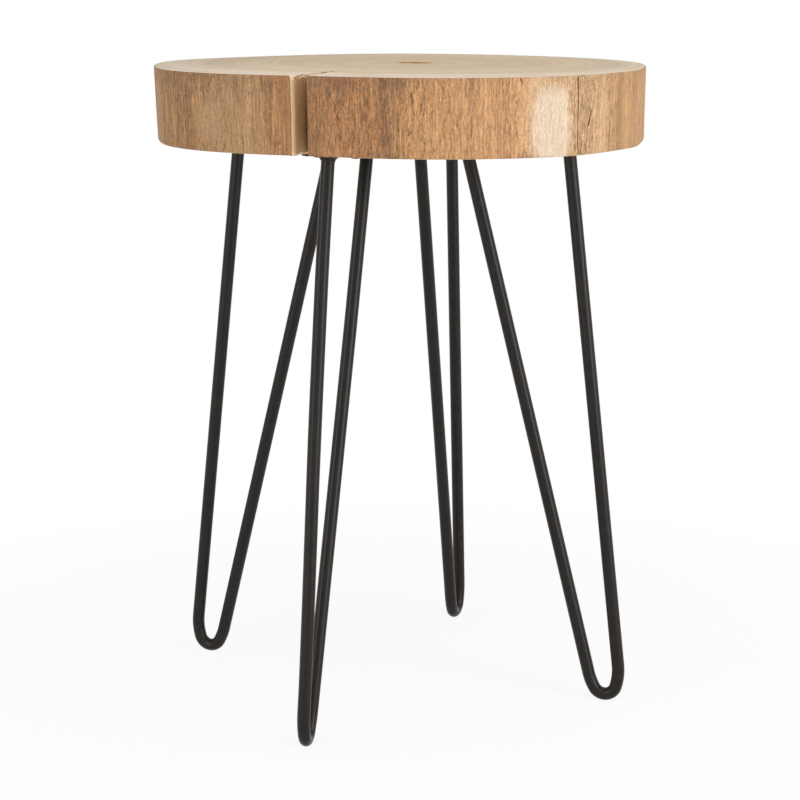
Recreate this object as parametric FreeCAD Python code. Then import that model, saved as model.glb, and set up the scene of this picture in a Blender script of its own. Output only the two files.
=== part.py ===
import FreeCAD, Part
import math
import os

from FreeCAD import Vector

# Side table: one cross-cut log slice on four hairpin legs of round steel bar.
# Lengths are millimetres and angles are degrees. +Z is up, and the origin lies on the
# floor under the middle of the table. The front is towards -Y.

os.makedirs("parts", exist_ok=True)

# Overall sizes
table_height = 526.0
slab_radius = 201.3
slab_thickness = 60.3

# Log slice: its natural outline, one share of slab_radius every 15 degrees from +X
rim_shares = (
    1.017, 1.005, 1.019, 1.012, 0.994, 0.980,
    0.980, 0.986, 0.975, 0.945, 0.932, 0.963,
    1.006, 1.003, 0.993, 0.999, 0.973, 0.924,
    0.895, 0.925, 0.972, 1.007, 1.039, 1.020,
)
bottom_inset = 1.5  # the trunk narrows a little downwards
bottom_shift = 1.0  # and leans, so one side narrows more
lean_angle = 30.0
top_edge_radius = 1.5
bottom_edge_radius = 2.0
edge_steps = 2  # flat bands that round each edge

# Drying crack through the slice, from the rim towards the middle
crack_angle = -93.1  # where on the rim it opens
crack_skew = 5.0  # how far it turns off the line to the centre
crack_rim_share = 0.898
crack_length = 88.0
crack_width = 9.5
# Each wall: shares of the length inwards, and shares of the width off the centre line.
# The left wall starts with a broken-off corner, so the mouth is wider than the crack.
crack_left_shares = ((0.00, 1.06), (0.035, 0.69), (0.20, 0.50), (0.42, 0.36), (0.66, 0.21), (0.85, 0.08))
crack_right_shares = ((0.00, 0.40), (0.20, 0.36), (0.42, 0.28), (0.66, 0.17), (0.85, 0.08))

# Soft pith, worn to a shallow hollow in the top
pith_across = 1.5
pith_along = 32.0
pith_half_width = 15.5
pith_depth = 5.0
pith_floor_share = 0.62
pith_shares = (1.00, 0.85, 0.69, 0.70, 1.00, 0.66, 0.64, 0.83)

# Hairpin bar
rod_diameter = 10.6
bend_radius = 10.1  # of the bar's centre line at the foot
ease_radius = 50.0  # of the longer arcs that lead from the foot into the straight runs
outer_ease_angle = 16.0  # below the level of the bend's centre, where the outer one starts
inner_ease_angle = 30.0
foot_splay = 37.8  # from the outer bar's top out to the foot

# Mounting plate
plate_setback = 49.5  # from the slice's nominal edge in to the plate
plate_width = 44.0
plate_thickness = 2.5
plate_corner_radius = 8.0
plate_end_margin = 6.0  # from a bar's centre to the plate's end
plate_gap = 30.0  # from a plate's inner end to the sides of the plates beside it

# Weld bead round each bar
weld_leg = 3.2
weld_height = 3.4
weld_toe = 0.5
weld_hollow_share = 0.2  # of weld_leg, how far its face is hollowed

# Pan head wood screws
screw_diameter = 4.5
screw_length = 30.0
screw_point = 7.0
screw_head_diameter = 9.0
screw_head_height = 3.0
screw_head_rim = 1.1
screw_crown_share = 0.64  # of the head's radius, how far its flat crown reaches
screw_side = 15.5  # off the plate's centre line
screw_from_rod = 18.0  # along the plate, from the nearer bar
recess_span = 5.0
recess_width = 1.1
recess_depth = 2.0
plate_hole_clearance = 0.5
pilot_clearance = 0.15

# The legs stand a quarter turn apart, from +X round to -Y. Each was bent and fitted by hand: how
# far it is off its quarter turn, its own small twist, and how far its bar sways sideways
legs = {
    "right": (0.6, 0.6, 0.3),
    "rear": (1.4, -0.7, 0.8),
    "left": (-1.7, 0.4, -0.5),
    "front": (-0.7, 1.7, -0.8),
}

# One overrun serves all cuts
overrun = 20.0

# Heights and places worked out from the sizes above
full_turn = 360.0
underside = table_height - slab_thickness
plate_bottom = underside - plate_thickness
rod_radius = rod_diameter / 2
plate_outer = slab_radius - plate_setback
plate_inner = plate_width / 2 + plate_gap
rod_outer_top = plate_outer - plate_end_margin
rod_inner_top = plate_inner + plate_end_margin
foot_reach = rod_outer_top + foot_splay
bend_centre = Vector(foot_reach, 0, bend_radius + rod_radius)
screw_radius = screw_diameter / 2
up = Vector(0, 0, 1)
origin = Vector(0, 0, 0)


def polar(reach, angle, height):
    """A point by its distance from the vertical axis, its direction and its height."""
    turn = math.radians(angle)
    return Vector(reach * math.cos(turn), reach * math.sin(turn), height)


def closed_curve(points):
    """One smooth closed wire through the points."""
    curve = Part.BSplineCurve()
    curve.interpolate(points, True)
    return Part.Wire([curve.toShape()])


def open_curve(points):
    """One smooth open edge through the points."""
    curve = Part.BSplineCurve()
    curve.interpolate(points)
    return curve.toShape()


def rim_wire(height, inset, shift):
    """The log's outline at one height, drawn in by inset and moved along the lean."""
    points = []
    for number, share in enumerate(rim_shares):
        angle = full_turn * number / len(rim_shares)
        point = polar(slab_radius * share - inset, angle, height)
        points.append(point + polar(shift, lean_angle, 0))
    return closed_curve(points)


def outline_at(height, rounding):
    """The slice's outline at one height: it tapers down a little and is drawn in."""
    climb = (height - underside) / slab_thickness
    inset = bottom_inset * (1 - climb) + rounding
    return rim_wire(height, inset, bottom_shift * (1 - climb))


def log_slice():
    """The trunk's piece between the two saw cuts, with both edges eased."""
    bottom_edge = []
    top_edge = []
    for step in range(edge_steps + 1):
        turn = math.radians(full_turn / 4) * step / edge_steps
        drawn_in = 1 - math.sin(turn)
        along = 1 - math.cos(turn)
        bottom_edge.append(outline_at(underside + bottom_edge_radius * along, bottom_edge_radius * drawn_in))
        top_edge.append(outline_at(table_height - top_edge_radius * along, top_edge_radius * drawn_in))
    return Part.makeLoft(bottom_edge + top_edge[::-1], True, True)


def crack():
    """The wedge of air that the drying crack leaves, a little past both saw cuts."""
    mouth = polar(slab_radius * crack_rim_share, crack_angle, underside - overrun)
    inwards = polar(1, crack_angle + full_turn / 2 + crack_skew, 0)
    left = up.cross(inwards)

    def at(along_share, side_share):
        return mouth + inwards * (crack_length * along_share) + left * (crack_width * side_share)

    tip = at(1, 0)
    left_wall = [at(along, side) for along, side in crack_left_shares]
    right_wall = [at(along, -side) for along, side in crack_right_shares]
    left_start = left_wall[0] - inwards * overrun
    right_start = right_wall[0] - inwards * overrun
    outline = Part.Wire(
        [
            Part.makeLine(left_start, left_wall[0]),
            Part.makeLine(left_wall[0], left_wall[1]),
            open_curve(left_wall[1:] + [tip]),
            open_curve([tip] + right_wall[::-1]),
            Part.makeLine(right_wall[0], right_start),
            Part.makeLine(right_start, left_start),
        ]
    )
    return Part.Face(outline).extrude(up * (slab_thickness + 2 * overrun))


def pith_hollow():
    """A shallow bowl with an uneven outline, narrower at its floor."""

    def ring(height, share):
        points = []
        for number, wave in enumerate(pith_shares):
            angle = full_turn * number / len(pith_shares)
            reach = pith_half_width * share * wave
            points.append(polar(reach, angle, height) + Vector(pith_across, pith_along, 0))
        return closed_curve(points)

    wall_slope = (1 - pith_floor_share) / pith_depth
    mouth = ring(table_height + overrun, 1 + wall_slope * overrun)
    floor = ring(table_height - pith_depth, pith_floor_share)
    return Part.makeLoft([floor, mouth], True, True)


def half_bend(side, top_reach, ease_angle):
    """One side of the bar's centre line: top, foot of the straight run, middle of the long arc,
    where it meets the foot's arc, and a point on the foot's arc. Side is 1 outwards, -1 inwards."""
    top = Vector(top_reach, 0, underside)
    drop = math.radians(ease_angle)
    meeting = Vector(side * math.cos(drop), 0, -math.sin(drop))
    ease_centre = bend_centre - meeting * (ease_radius - bend_radius)
    reach = top - ease_centre
    opening = math.degrees(math.acos(ease_radius / reach.Length)) * side
    touch = FreeCAD.Rotation(Vector(0, 1, 0), opening).multVec(reach.normalize())
    low = ease_centre + touch * ease_radius
    middle = ease_centre + (touch + meeting).normalize() * ease_radius
    return top, low, middle, bend_centre + meeting * bend_radius


def hairpin():
    """One bar bent into a V, standing on its bend, with its tops still too long."""
    outer_top, outer_low, outer_middle, outer_meet = half_bend(1, rod_outer_top, outer_ease_angle)
    inner_top, inner_low, inner_middle, inner_meet = half_bend(-1, rod_inner_top, inner_ease_angle)
    outer_run = (outer_top - outer_low).normalize()
    inner_run = (inner_top - inner_low).normalize()
    start = outer_top + outer_run * overrun
    end = inner_top + inner_run * overrun
    lowest = bend_centre - up * bend_radius
    path = Part.Wire(
        [
            Part.makeLine(start, outer_low),
            Part.Arc(outer_low, outer_middle, outer_meet).toShape(),
            Part.Arc(outer_meet, lowest, inner_meet).toShape(),
            Part.Arc(inner_meet, inner_middle, inner_low).toShape(),
            Part.makeLine(inner_low, end),
        ]
    )
    section = Part.Wire([Part.makeCircle(rod_radius, start, outer_run * -1)])
    return path.makePipeShell([section], True, False)


def swayed(shape, sway):
    """A bar or its beads, leaned sideways at the plate, with the foot back on the floor."""
    copy = shape.copy()
    copy.rotate(Vector(0, 0, underside), Vector(1, 0, 0), sway)
    lift = (underside - rod_radius) * (1 - math.cos(math.radians(sway)))
    copy.translate(up * -lift)
    return copy


def under_plate(margin):
    """The space below the plate, from one end of it to the other, and a margin past both ends."""
    length = plate_outer - plate_inner + margin * 2
    corner = Vector(plate_inner - margin, -slab_radius, -overrun)
    return Part.makeBox(length, slab_radius * 2, plate_bottom + overrun, corner)


def weld_bead(top, low):
    """The fillet of weld metal round one bar, under the plate."""
    run = (top - low).normalize()
    root = top - run * (plate_thickness / run.z)
    wide = rod_radius + weld_leg
    narrow = rod_radius + weld_toe
    hollow = weld_leg * weld_hollow_share
    middle = Vector((wide + narrow) / 2 - hollow, 0, hollow - weld_height / 2)
    profile = Part.Wire(
        [
            Part.makeLine(Vector(rod_radius, 0, overrun), Vector(wide, 0, overrun)),
            Part.makeLine(Vector(wide, 0, overrun), Vector(wide, 0, 0)),
            Part.makeLine(Vector(wide, 0, 0), middle),
            Part.makeLine(middle, Vector(narrow, 0, -weld_height)),
            Part.makeLine(Vector(narrow, 0, -weld_height), Vector(rod_radius, 0, -weld_height)),
            Part.makeLine(Vector(rod_radius, 0, -weld_height), Vector(rod_radius, 0, overrun)),
        ]
    )
    bead = Part.Face(profile).revolve(origin, up, full_turn)
    bead.Placement = FreeCAD.Placement(root, FreeCAD.Rotation(up, run))
    return bead


def weld_beads(sway):
    """Both beads of one leg, as two solids, kept to the plate."""
    beads = []
    for side, top_reach, ease_angle in (
        (1, rod_outer_top, outer_ease_angle),
        (-1, rod_inner_top, inner_ease_angle),
    ):
        top, low, middle, meeting = half_bend(side, top_reach, ease_angle)
        beads.append(swayed(weld_bead(top, low), sway).common(under_plate(0)))
    return Part.makeCompound(beads)


def bar(sway):
    """One leg's bar, swayed, with its tops cut level with the plate."""
    return swayed(hairpin(), sway).common(under_plate(slab_radius))


def screw_places():
    """The four screw axes of one plate, where they meet its underside."""
    places = []
    for along in (rod_inner_top + screw_from_rod, rod_outer_top - screw_from_rod):
        for side in (-screw_side, screw_side):
            places.append(Vector(along, side, plate_bottom))
    return places


def plate():
    """The flat bar that carries both bar ends, with rounded corners and four clear holes."""
    length = plate_outer - plate_inner
    corner = Vector(plate_inner, -plate_width / 2, plate_bottom)
    body = Part.makeBox(length, plate_width, plate_thickness, corner)
    corners = [edge for edge in body.Edges if edge.BoundBox.ZLength > plate_thickness / 2]
    body = body.makeFillet(plate_corner_radius, corners)
    hole_radius = screw_radius + plate_hole_clearance
    for place in screw_places():
        low = place - up * overrun
        hole = Part.makeCylinder(hole_radius, plate_thickness + overrun * 2, low)
        body = body.cut(hole)
    return body


def screw():
    """One pan head wood screw, head down, with its head's flat at the origin."""
    rim = Vector(screw_head_diameter / 2, 0, -screw_head_rim)
    crown = Vector(0, 0, -screw_head_height)
    shoulder = Vector(rim.x * screw_crown_share, 0, crown.z)
    neck = screw_length - screw_point
    profile = Part.Wire(
        [
            Part.makeLine(crown, shoulder),
            Part.makeLine(shoulder, rim),
            Part.makeLine(rim, Vector(rim.x, 0, 0)),
            Part.makeLine(Vector(rim.x, 0, 0), Vector(screw_radius, 0, 0)),
            Part.makeLine(Vector(screw_radius, 0, 0), Vector(screw_radius, 0, neck)),
            Part.makeLine(Vector(screw_radius, 0, neck), Vector(0, 0, screw_length)),
            Part.makeLine(Vector(0, 0, screw_length), crown),
        ]
    )
    body = Part.Face(profile).revolve(origin, up, full_turn)
    for spans in ((recess_span, recess_width), (recess_width, recess_span)):
        corner = Vector(-spans[0] / 2, -spans[1] / 2, crown.z - overrun)
        body = body.cut(Part.makeBox(spans[0], spans[1], recess_depth + overrun, corner))
    return body


def screws():
    """The four screws of one leg, as four solids."""
    copies = []
    for place in screw_places():
        copy = screw()
        copy.translate(place)
        copies.append(copy)
    return Part.makeCompound(copies)


def pilot_holes():
    """The holes that one leg's screws cut in the slice."""
    radius = screw_radius + pilot_clearance
    depth = screw_length - plate_thickness + pilot_clearance
    holes = []
    for place in screw_places():
        low = Vector(place.x, place.y, underside - overrun)
        holes.append(Part.makeCylinder(radius, depth + overrun, low))
    return Part.makeCompound(holes)


def placed(shape, number):
    """A piece of one leg, modelled along +X, turned to its place on the slice."""
    offset, twist, sway = list(legs.values())[number]
    copy = shape.copy()
    copy.rotate(Vector(foot_reach, 0, 0), up, twist)
    copy.rotate(origin, up, full_turn * number / len(legs) + offset)
    return copy


def slab():
    """The finished top: the slice with its crack, its pith and the screws' pilot holes."""
    body = log_slice().cut(crack()).cut(pith_hollow())
    holes = pilot_holes()
    for number in range(len(legs)):
        body = body.cut(placed(holes, number))
    return body


def export(shape, node):
    """Writes one node and says what it holds."""
    shape.exportStep(os.path.join("parts", node + ".step"))
    print(node, "solids", len(shape.Solids), "valid", shape.isValid(), "volume", round(shape.Volume))


export(slab(), "slab_top")
leg_plate = plate()
leg_screws = screws()
for number, side in enumerate(legs):
    offset, twist, sway = legs[side]
    export(placed(bar(sway), number), side + "_leg_rod")
    export(placed(leg_plate, number), side + "_leg_plate")
    export(placed(weld_beads(sway), number), side + "_leg_welds")
    export(placed(leg_screws, number), side + "_leg_screws")
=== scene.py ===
# %% [markdown]
# # A log slice table, dressed
#
# The real thing is one slice sawn across a trunk, debarked and left pale, on four hairpin
# legs of blackened steel bar. The frame holds every piece at its real size. This lesson
# builds each visible piece over it, finishes it with procedural materials and lights it.
#
# Everything is in metres, with +Z up and the front towards -Y.

import math
from collections import namedtuple

import bpy
import numpy as np
from mathutils import Matrix, Vector, noise


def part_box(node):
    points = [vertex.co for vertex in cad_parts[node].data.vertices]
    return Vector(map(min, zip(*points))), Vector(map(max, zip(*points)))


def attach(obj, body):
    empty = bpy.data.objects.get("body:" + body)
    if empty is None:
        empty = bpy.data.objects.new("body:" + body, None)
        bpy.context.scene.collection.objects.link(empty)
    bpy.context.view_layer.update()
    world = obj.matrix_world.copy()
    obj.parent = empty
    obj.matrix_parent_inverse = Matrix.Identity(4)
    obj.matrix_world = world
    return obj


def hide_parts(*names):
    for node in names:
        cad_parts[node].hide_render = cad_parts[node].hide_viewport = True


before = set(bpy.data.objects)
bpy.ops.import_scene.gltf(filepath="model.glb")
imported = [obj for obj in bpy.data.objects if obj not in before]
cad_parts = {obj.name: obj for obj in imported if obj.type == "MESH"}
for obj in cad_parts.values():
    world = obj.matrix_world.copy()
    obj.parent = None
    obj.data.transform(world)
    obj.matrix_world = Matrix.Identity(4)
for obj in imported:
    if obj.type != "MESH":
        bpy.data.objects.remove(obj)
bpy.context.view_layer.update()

# %% [markdown]
# ## Sizes
#
# The slice's faces are read from the frame, so that the looks can't drift from the solids.
# The steel is round bar and thin flat bar. Those sizes are named once here, and every later
# cell works from them.

# %% Name the sizes
mm = 0.001
nearly = 0.01 * mm
slab_low, slab_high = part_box("slab_top")
underside = slab_low.z
top = slab_high.z
thickness = top - underside
half_width = (slab_high.x - slab_low.x) / 2

rod_radius = 5.3 * mm
bend_radius = 10.1 * mm
ease_radius = 50.0 * mm
outer_ease_angle = 16.0
inner_ease_angle = 30.0
rod_outer_top = 145.8 * mm
rod_inner_top = 58.0 * mm
foot_reach = 183.6 * mm

plate_width = 44.0 * mm
plate_thickness = 2.5 * mm
plate_corner = 8.0 * mm
plate_end_margin = 6.0 * mm
plate_bottom = underside - plate_thickness

# Each leg, in degrees: how far it is off its quarter turn, its twist, its bar's sideways sway
# and how far its tight bend came out turned. The last is the spring of its outer run.
Leg = namedtuple("Leg", "offset twist sway bend_turn spring")
legs = {
    "right": Leg(0.6, 0.6, 0.3, 0.0, 0.0),
    "rear": Leg(1.4, -0.7, 0.8, 0.0, 0.0),
    "left": Leg(-1.7, 0.4, -0.5, 0.0, 0.0),
    "front": Leg(-0.7, 1.7, -0.8, 9.0, 1.0 * mm),
}
print("slice", round(thickness / mm, 1), "mm thick, plate's underside at", round(plate_bottom / mm, 1))

# %% [markdown]
# ## The camera
#
# The slice is seen a few degrees from above, so that its top is a thin ellipse, and a long
# lens keeps the legs nearly parallel. The place and the lens were worked out from where the
# feet and the rim lie in the picture.

# %% Set the camera
camera_place = Vector((0.6354, -1.7071, 0.6178))
camera_lens = 98.857
camera_turn = math.radians(20.367)
camera_tilt = math.radians(78.433)
camera_roll = math.radians(0.057)

bpy.ops.object.camera_add(location=camera_place)
camera = bpy.context.object
camera.name = "camera"
camera.data.lens = camera_lens
camera.data.sensor_width = 36.0
camera.matrix_world = (
    Matrix.Translation(camera_place)
    @ Matrix.Rotation(camera_turn, 4, "Z")
    @ Matrix.Rotation(camera_tilt, 4, "X")
    @ Matrix.Rotation(camera_roll, 4, "Z")
)
bpy.context.scene.camera = camera
print("camera", round(camera_place.length, 3), "m from the origin")

# %% [markdown]
# ## Hands for the workshop
#
# Operators act on whatever is selected, and loading the frame leaves its nodes selected. So
# each step starts by selecting one piece only. Faces and edges are then picked by their
# place, as a hand would pick them with the mouse.


# %% Select a piece and parts of it
def only(piece):
    """Selects this piece and nothing else."""
    bpy.ops.object.select_all(action="DESELECT")
    piece.select_set(True)
    bpy.context.view_layer.objects.active = piece


def start_piece(name):
    """Names the primitive that was just added and writes its place into its points."""
    piece = bpy.context.object
    piece.name = name
    piece.data.name = name
    only(piece)
    bpy.ops.object.transform_apply(location=True, rotation=True, scale=True)
    return piece


def pick(piece, mode, parts, test):
    """Goes into edit mode with only those parts of a piece selected that pass the test."""
    only(piece)
    bpy.context.tool_settings.mesh_select_mode = mode
    for group in (piece.data.vertices, piece.data.edges, piece.data.polygons):
        group.foreach_set("select", [False] * len(group))
    for part in parts:
        part.select = bool(test(part))
    bpy.ops.object.mode_set(mode="EDIT")


def pick_edges(piece, test):
    """Picks the edges whose two ends pass the test."""
    ends = [vertex.co.copy() for vertex in piece.data.vertices]

    def passes(edge):
        return test(ends[edge.vertices[0]], ends[edge.vertices[1]])

    pick(piece, (False, True, False), piece.data.edges, passes)


def pick_faces(piece, test):
    """Picks the faces whose centre and normal pass the test."""
    pick(piece, (False, False, True), piece.data.polygons, lambda face: test(face.center, face.normal))


def edit_all():
    """Goes into edit mode with all of the piece in hand selected."""
    bpy.ops.object.mode_set(mode="EDIT")
    bpy.ops.mesh.select_all(action="SELECT")


def done():
    """Leaves edit mode."""
    bpy.ops.object.mode_set(mode="OBJECT")


def at_level(level):
    """A test for edges that lie at this height."""
    return lambda a, b: abs(a.z - level) < nearly and abs(b.z - level) < nearly


def divide(piece, axis, length, cuts):
    """Cuts every edge that spans more than this length along an axis into equal parts."""
    pick_edges(piece, lambda a, b: abs(getattr(a, axis) - getattr(b, axis)) > length)
    bpy.ops.mesh.subdivide(number_cuts=cuts)
    done()


def fix_normals(piece):
    """Merges doubled points and turns every face outwards."""
    pick_faces(piece, lambda centre, normal: True)
    bpy.ops.mesh.remove_doubles(threshold=0.001 * mm)
    bpy.ops.mesh.normals_make_consistent(inside=False)
    done()


def smooth(piece, angle):
    """Shades round faces smooth and keeps edges sharper than the angle."""
    only(piece)
    bpy.ops.object.shade_smooth_by_angle(angle=math.radians(angle))


def apply_all(piece):
    """Applies every modifier, in order."""
    only(piece)
    for modifier in list(piece.modifiers):
        bpy.ops.object.modifier_apply(modifier=modifier.name)


def cut_with(piece, cutter):
    """Takes the cutter's shape out of the piece. The cut faces keep the cutter's material."""
    modifier = piece.modifiers.new("cut", "BOOLEAN")
    modifier.operation = "DIFFERENCE"
    modifier.solver = "EXACT"
    modifier.material_mode = "TRANSFER"
    modifier.object = cutter
    apply_all(piece)
    bpy.data.objects.remove(cutter)


# %% [markdown]
# Points move in numpy where a shape follows the tree and not a tool, such as the outline of
# the trunk. These two calls read a mesh's points and put them back.


# %% Read and write points
def points_of(piece):
    """A piece's points as rows of x, y and z."""
    flat = np.empty(len(piece.data.vertices) * 3)
    piece.data.vertices.foreach_get("co", flat)
    return flat.reshape(-1, 3)


def move_points(piece, places):
    """Puts a piece's points where these rows say."""
    piece.data.vertices.foreach_set("co", places.ravel())
    piece.data.update()


def wander(places, wide, tall, seed):
    """Smooth noise from -1 to 1 at each point, in patches this wide across and this tall."""
    shift = Vector((seed * 7.13, seed * 3.71, seed * 5.29))
    values = []
    for x, y, z in places:
        values.append(noise.noise(Vector((x / wide, y / wide, z / tall)) + shift))
    return np.array(values)


# %% [markdown]
# ## The slice
#
# A slice of trunk is round only in name. Its side follows the tree, so its outline is read
# from the solid by shooting rays at it from all round. The crack's mouth swallows a few
# rays, and the outline is carried across it.

# %% Read the trunk's outline
columns = 960
mouth_start, mouth_end = -98.5, -90.0
ray_heights = (underside + 4 * mm, (underside + top) / 2, top - 2.5 * mm)
slab_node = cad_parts["slab_top"]
bpy.context.view_layer.update()
column_angles = np.arange(columns) * 360.0 / columns - 180.0


def level_way(turn):
    """The level direction at an angle round the trunk."""
    return Vector((math.cos(turn), math.sin(turn), 0))


def outline_reach(height):
    """Distance from the axis to the side, for each column, at one height."""
    reaches = []
    for angle in np.radians(column_angles):
        away = level_way(angle)
        start = away * (half_width * 2) + Vector((0, 0, height))
        place = slab_node.ray_cast(start, -away)[1]
        reaches.append(math.hypot(place.x, place.y))
    reaches = np.array(reaches)
    clear = (column_angles < mouth_start) | (column_angles > mouth_end)
    return np.interp(column_angles, column_angles[clear], reaches[clear])


outlines = [outline_reach(height) for height in ray_heights]
print("outline from", round(min(outlines[1]) / mm, 1), "to", round(max(outlines[1]) / mm, 1), "mm")


def reach_at(angles, heights):
    """Distance from the axis to the side, at these angles in degrees and these heights."""
    rows = [np.interp(angles, column_angles, outline, period=360.0) for outline in outlines]
    low, middle, high = ray_heights
    climb = np.clip((heights - low) / (middle - low), 0, 1)
    rest = np.clip((heights - middle) / (high - middle), 0, 1)
    return rows[0] + (rows[1] - rows[0]) * climb + (rows[2] - rows[1]) * rest


# %% [markdown]
# The blank is a cylinder, turned true. Its two rims are bevelled, as a sander eases them, and
# its side is divided into rows. Insets on both sawn faces give the rim rings to settle on.
# The bevels come before the rows, because a bevel can't be wider than the row beside it.

# %% Turn the blank
top_edge_radius = 1.5 * mm
bottom_edge_radius = 2.0 * mm
side_rows = 34
face_insets = (2.0 * mm, 5.0 * mm)


def is_sawn(normal):
    """True for a face that lies flat, as those of the two saw cuts do."""
    return abs(normal.z) > 0.9


bpy.ops.mesh.primitive_cylinder_add(
    vertices=columns, radius=half_width, depth=thickness, location=(0, 0, (top + underside) / 2)
)
log_slice = start_piece("log_slice")
for level, radius in ((top, top_edge_radius), (underside, bottom_edge_radius)):
    pick_edges(log_slice, at_level(level))
    bpy.ops.mesh.bevel(offset=radius, segments=4, affect="EDGES")
    done()
divide(log_slice, "z", thickness / 2, side_rows)
for inset in face_insets:
    pick_faces(log_slice, lambda centre, normal: is_sawn(normal) and centre.xy.length < half_width / 2)
    bpy.ops.mesh.inset(thickness=inset)
    done()
print("blank", len(log_slice.data.vertices), "points")

# %% [markdown]
# Now the blank takes the tree's outline, and the debarked surface its relief: broad flutes,
# ribs a few millimetres wide and the ends of the fibres. The relief only goes inwards, so
# that the slice stays in its box. It is strongest beside the two fissures on the right, where
# the grain swirls round an old branch.

# %% Give the blank the trunk's shape
# Each relief: how deep it is, and how wide and tall its patches are
flute_depth, flute_wide, flute_tall = 0.10 * mm, 24 * mm, 190 * mm
rib_depth, rib_wide, rib_tall = 0.09 * mm, 5.5 * mm, 60 * mm
fibre_depth, fibre_wide, fibre_tall = 0.10 * mm, 2.4 * mm, 16 * mm
swirl_angle, swirl_spread, swirl_gain = -24.0, 7.0, 1.8
relief_fade = 9.0 * mm

places = points_of(log_slice)
angles = np.degrees(np.arctan2(places[:, 1], places[:, 0]))
side_reach = reach_at(angles, places[:, 2])
places[:, :2] *= (side_reach / half_width)[:, None]

flutes = flute_depth * (1 + wander(places, flute_wide, flute_tall, 1))
ribs = rib_depth * (1 + wander(places, rib_wide, rib_tall, 2))
fibres = fibre_depth * (1 + wander(places, fibre_wide, fibre_tall, 3))
swirl = swirl_gain * np.exp(-(((angles - swirl_angle) / swirl_spread) ** 2))
reach = np.hypot(places[:, 0], places[:, 1])
near_rim = np.exp(-(((side_reach - reach) / relief_fade) ** 2))
relief = (flutes + (ribs + fibres) * (1 + swirl)) * near_rim
places[:, :2] *= (1 - relief / reach)[:, None]
move_points(log_slice, places)
print("relief up to", round(relief.max() / mm, 2), "mm")

# %% [markdown]
# ## Materials for the slice's four surfaces
#
# The sawn faces show end grain, the side shows long grain under the bark, the crack shows
# split fibres and the pith is soft and brown. They are four materials on one piece. The cell
# only makes them, so that the cutters can carry theirs into the wood. Their nodes come later.


# %% Make the empty materials
def new_material(name):
    """An empty material with nodes."""
    material = bpy.data.materials.new(name)
    material.use_nodes = True
    material.node_tree.nodes.clear()
    return material


long_grain = new_material("long_grain")
end_grain = new_material("end_grain")
split_grain = new_material("split_grain")
pith_wood = new_material("pith_wood")

log_slice.data.materials.append(long_grain)
log_slice.data.materials.append(end_grain)
for face in log_slice.data.polygons:
    face.material_index = 1 if is_sawn(face.normal) else 0
print("slots on the slice", [slot.name for slot in log_slice.material_slots])

# %% [markdown]
# ## The drying crack
#
# Wood shrinks more round the rings than across them, so a slice opens in a wedge from the
# rim towards the pith. The cutter is a block, divided finely and pulled into that wedge. Its
# walls get upright ribs, because the fibres run upwards, and they turn ragged within a few
# millimetres of both saw cuts, where the saw tore them.

# %% Shape the crack's cutter
crack_angle = math.radians(-93.1)
crack_skew = math.radians(5.0)
crack_mouth_reach = 180.8 * mm
crack_length = 88.0 * mm
crack_width = 9.5 * mm
crack_start = -0.14
crack_steps, crack_rows = 150, 80
cut_overrun = 3.0 * mm
wall_rib = 0.35 * mm
torn_depth = 1.5 * mm
torn_top, torn_bottom = 3.6 * mm, 2.2 * mm
right_wall_tear = 0.35
calm_width = 0.3
thinnest = 0.02 * mm
crack_wobble = 0.7 * mm

# How far each wall is from the middle line in crack widths, at shares of the way in
crack_left = (
    (crack_start, 1.18), (0.0, 1.18), (0.035, 0.80), (0.20, 0.56),
    (0.42, 0.38), (0.66, 0.21), (0.85, 0.08), (1.0, 0.0),
)
crack_right = (
    (crack_start, 0.40), (0.0, 0.40), (0.20, 0.36), (0.42, 0.28),
    (0.66, 0.17), (0.85, 0.08), (1.0, 0.0),
)
crack_mouth = level_way(crack_angle) * crack_mouth_reach
crack_in = level_way(crack_angle + math.pi + crack_skew)
crack_side = Vector((0, 0, 1)).cross(crack_in)

bpy.ops.mesh.primitive_cube_add(size=1)
crack = start_piece("crack_cutter")
divide(crack, "x", 0.5, crack_steps)
divide(crack, "z", 0.5, crack_rows)

block = points_of(crack)
along = crack_start + (block[:, 0] + 0.5) * (1 - crack_start)
height = underside - cut_overrun + (block[:, 2] + 0.5) * (thickness + 2 * cut_overrun)
is_left = block[:, 1] > 0
left_half = np.interp(along, *zip(*crack_left)) * crack_width
right_half = np.interp(along, *zip(*crack_right)) * crack_width
half = np.where(is_left, left_half, right_half)
wall = np.stack([along * crack_length, np.where(is_left, 0.5, -0.5), height], axis=1)
ribs = wall_rib * wander(wall, 3.2 * mm, 40 * mm, 4) + wall_rib / 2 * wander(wall, 1.3 * mm, 12 * mm, 5)
chips = 0.5 + wander(wall, 2.4 * mm, 2.0 * mm, 6) + 0.5 * wander(wall, 0.9 * mm, 1.1 * mm, 16)
near_top = np.clip(1 - (top - height) / (torn_top * (1 - 0.6 * np.clip(along, 0, 1))), 0, 1)
near_bottom = np.clip(1 - (height - underside) / torn_bottom, 0, 1)
torn = torn_depth * np.maximum(near_top, near_bottom) * chips * np.where(is_left, 1.0, right_wall_tear)
room = np.clip(half / (crack_width * calm_width), 0, 1)
half = np.maximum(half + (ribs + torn) * room, thinnest)
run = np.stack([along * crack_length, 0 * along, 0 * along], axis=1)
drift = crack_wobble * wander(run, 22 * mm, 1, 7) * np.clip(along * 3, 0, 1)
sideways = np.where(is_left, half, -half) + drift
mouth_degrees = math.degrees(crack_angle)
side_lean = reach_at(mouth_degrees, height) - reach_at(mouth_degrees, np.array([ray_heights[1]]))
flare_shift = side_lean * (1 - np.clip(along, 0, 1))
spots = np.array(crack_mouth) + np.outer(along * crack_length, crack_in) + np.outer(sideways, crack_side)
spots -= np.outer(flare_shift, crack_in)
spots[:, 2] = height
move_points(crack, spots)
crack.data.materials.append(split_grain)
fix_normals(crack)
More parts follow.
